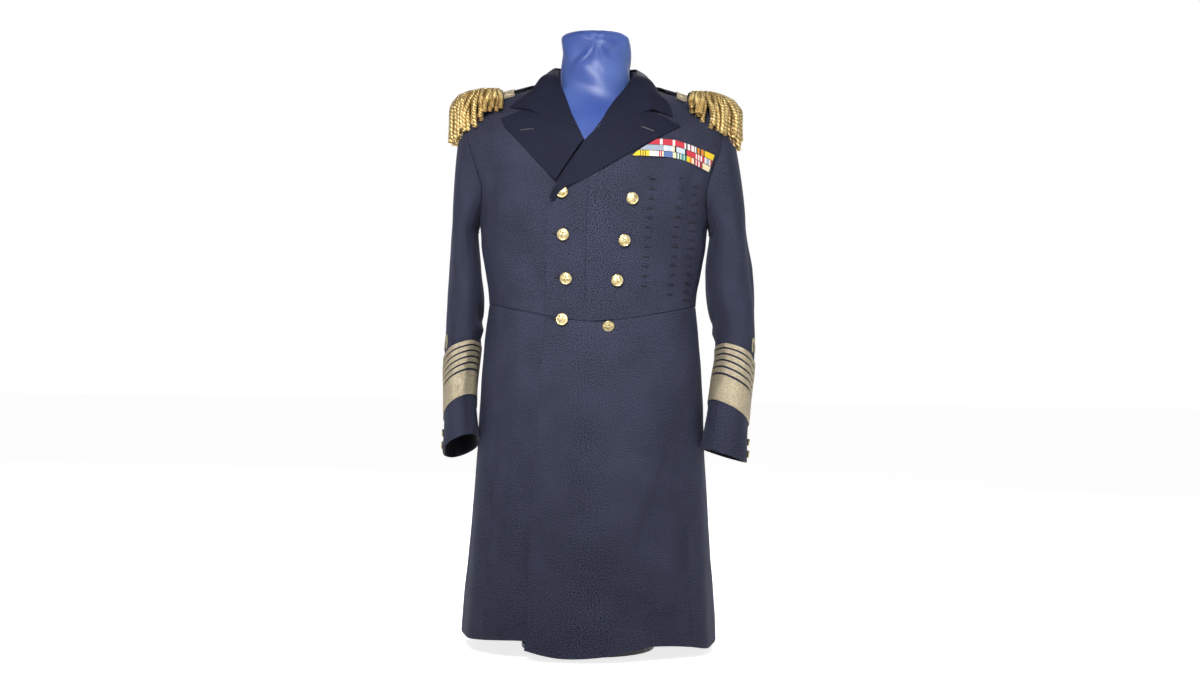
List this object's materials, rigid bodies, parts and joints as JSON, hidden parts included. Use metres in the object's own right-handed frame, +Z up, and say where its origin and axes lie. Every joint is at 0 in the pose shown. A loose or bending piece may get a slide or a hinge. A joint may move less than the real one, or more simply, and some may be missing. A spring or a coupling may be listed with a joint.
{
  "type": "naval frock coat on a dress form",
  "caption": "Double-breasted knee-length naval frock coat with bullion epaulettes, gold sleeve lace and ribbon bars, hanging on a limbless dress form with a stand.",
  "frame": {"origin": "centre of the stand's underside", "axes": "+Z up, the coat faces -Y, the wearer's left is +X"},
  "size_m": [0.5881, 0.3596, 1.158],
  "materials": {
    "navy_wool": "dark navy wool doeskin, brushed smooth",
    "lapel_cloth": "same wool, darker in the lapel's shade",
    "gold_lace": "woven metal-thread lace, tarnished",
    "bullion": "twisted gold bullion cord",
    "button_gilt": "gilt brass, domed with a raised rim",
    "strap_cloth": "dark cloth over a stiff strap",
    "ribbon": null,
    "satin": "blue satin cover",
    "stand_steel": "dark painted steel"
  },
  "bodies": {
    "root": {"back_left": "navy_wool", "back_right": "navy_wool", "button_cuff_left_1": "button_gilt", "button_cuff_left_2": "button_gilt", "button_cuff_right_1": "button_gilt", "button_cuff_right_2": "button_gilt", "button_hip_left": "button_gilt", "button_hip_right": "button_gilt", "button_left_1": "button_gilt", "button_left_2": "button_gilt", "button_left_3": "button_gilt", "button_left_4": "button_gilt", "button_right_1": "button_gilt", "button_right_2": "button_gilt", "button_right_3": "button_gilt", "button_right_4": "button_gilt", "collar_fall": "navy_wool", "collar_stand": "navy_wool", "curl_left": "gold_lace", "curl_right": "gold_lace", "dress_form": "satin", "epaulette_fringe_left": "bullion", "epaulette_fringe_right": "bullion", "epaulette_loop_left": "gold_lace", "epaulette_loop_right": "gold_lace", "epaulette_strap_left": "strap_cloth", "epaulette_strap_right": "strap_cloth", "form_base": "stand_steel", "form_pole": "stand_steel", "front_left": "navy_wool", "front_left_strip": "navy_wool", "front_right": "navy_wool", "lace_1_left": "gold_lace", "lace_1_right": "gold_lace", "lace_2_left": "gold_lace", "lace_2_right": "gold_lace", "lace_3_left": "gold_lace", "lace_3_right": "gold_lace", "lace_4_left": "gold_lace", "lace_4_right": "gold_lace", "lace_5_left": "gold_lace", "lace_5_right": "gold_lace", "lace_broad_left": "gold_lace", "lace_broad_right": "gold_lace", "lapel_left": "lapel_cloth", "lapel_right": "lapel_cloth", "ribbons_1": "ribbon", "ribbons_2": "ribbon", "ribbons_3": "ribbon", "side_left": "navy_wool", "side_right": "navy_wool", "skirt_front_left": "navy_wool", "skirt_front_right": "navy_wool", "skirt_side_left": "navy_wool", "skirt_side_right": "navy_wool", "sleeve_top_left": "navy_wool", "sleeve_top_right": "navy_wool", "sleeve_under_left": "navy_wool", "sleeve_under_right": "navy_wool"}
  },
  "joints": []
}
